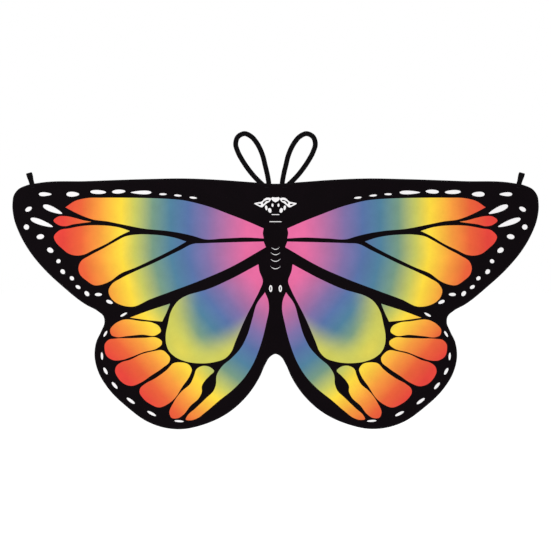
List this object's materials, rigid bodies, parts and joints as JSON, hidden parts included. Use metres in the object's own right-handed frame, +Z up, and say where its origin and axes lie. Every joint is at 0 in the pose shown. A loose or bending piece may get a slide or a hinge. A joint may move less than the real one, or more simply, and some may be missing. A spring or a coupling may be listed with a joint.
{
  "type": "butterfly wing cape",
  "caption": "Printed cloth butterfly-wing cape with an overlocked edge, elastic shoulder loops at the neckline and elastic finger loops at the wing tips.",
  "frame": {"origin": "the middle of the neckline edge, halfway through the cloth", "axes": "+X towards the right wing tip, +Y away from the printed side and towards the wearer, +Z up; the cape hangs upright with its wings spread"},
  "size_m": [1.2022, 0.0144, 0.6807],
  "materials": {
    "printed_cloth": "thin satin-weave polyester, black ground with a rainbow butterfly print",
    "edge_thread": "black overlock thread",
    "elastic": "black braided elastic, ribbed along its length",
    "tack_thread": "black zigzag bar tack"
  },
  "bodies": {
    "back": {"back_panel": "printed_cloth", "back_panel_edge": "edge_thread", "left_shoulder_loop_ends": "elastic", "left_shoulder_bar_tacks": "tack_thread", "right_shoulder_loop_ends": "elastic", "right_shoulder_bar_tacks": "tack_thread"},
    "left_wing": {"left_wing": "printed_cloth", "left_wing_edge": "edge_thread"},
    "left_wing_tip": {"left_wing_tip": "printed_cloth", "left_wing_tip_edge": "edge_thread", "left_finger_loop_ends": "elastic", "left_finger_bar_tacks": "tack_thread"},
    "left_hind_lobe": {"left_hind_lobe": "printed_cloth", "left_hind_lobe_edge": "edge_thread"},
    "left_shoulder_loop": {"left_shoulder_loop": "elastic"},
    "left_finger_loop": {"left_finger_loop": "elastic"},
    "right_wing": {"right_wing": "printed_cloth", "right_wing_edge": "edge_thread"},
    "right_wing_tip": {"right_wing_tip": "printed_cloth", "right_wing_tip_edge": "edge_thread", "right_finger_loop_ends": "elastic", "right_finger_bar_tacks": "tack_thread"},
    "right_hind_lobe": {"right_hind_lobe": "printed_cloth", "right_hind_lobe_edge": "edge_thread"},
    "right_shoulder_loop": {"right_shoulder_loop": "elastic"},
    "right_finger_loop": {"right_finger_loop": "elastic"}
  },
  "joints": [
    {"name": "left_wing_fold", "type": "hinge", "parent": "back", "child": "left_wing", "pos_m": [-0.052, 0, -0.2], "axis": [0, 0, -1], "range_deg": [-45, 75]},
    {"name": "left_wing_tip_fold", "type": "hinge", "parent": "left_wing", "child": "left_wing_tip", "pos_m": [-0.4302, 0, -0.12], "axis": [0, 0, -1], "range_deg": [-45, 45]},
    {"name": "left_hind_lobe_fold", "type": "hinge", "parent": "left_wing", "child": "left_hind_lobe", "pos_m": [-0.085, 0, -0.505], "axis": [0.8582, 0, -0.5133], "range_deg": [-45, 40]},
    {"name": "left_shoulder_loop_fold", "type": "hinge", "parent": "back", "child": "left_shoulder_loop", "pos_m": [-0.027, 0.0012, 0.006], "axis": [-1, 0, 0], "range_deg": [-75, 75], "stiffness_Nm_per_rad": 0.01},
    {"name": "left_finger_loop_fold", "type": "hinge", "parent": "left_wing_tip", "child": "left_finger_loop", "pos_m": [-0.5575, 0.0017, 0.0035], "axis": [-0.9636, 0, -0.2672], "range_deg": [-60, 60], "stiffness_Nm_per_rad": 0.002},
    {"name": "right_wing_fold", "type": "hinge", "parent": "back", "child": "right_wing", "pos_m": [0.052, 0, -0.2], "axis": [0, 0, 1], "range_deg": [-45, 75]},
    {"name": "right_wing_tip_fold", "type": "hinge", "parent": "right_wing", "child": "right_wing_tip", "pos_m": [0.4302, 0, -0.12], "axis": [0, 0, 1], "range_deg": [-45, 45]},
    {"name": "right_hind_lobe_fold", "type": "hinge", "parent": "right_wing", "child": "right_hind_lobe", "pos_m": [0.085, 0, -0.505], "axis": [0.8582, 0, 0.5133], "range_deg": [-45, 40]},
    {"name": "right_shoulder_loop_fold", "type": "hinge", "parent": "back", "child": "right_shoulder_loop", "pos_m": [0.027, 0.0012, 0.006], "axis": [-1, 0, 0], "range_deg": [-75, 75], "stiffness_Nm_per_rad": 0.01},
    {"name": "right_finger_loop_fold", "type": "hinge", "parent": "right_wing_tip", "child": "right_finger_loop", "pos_m": [0.5575, 0.0017, 0.0035], "axis": [-0.9636, 0, 0.2672], "range_deg": [-60, 60], "stiffness_Nm_per_rad": 0.002}
  ]
}
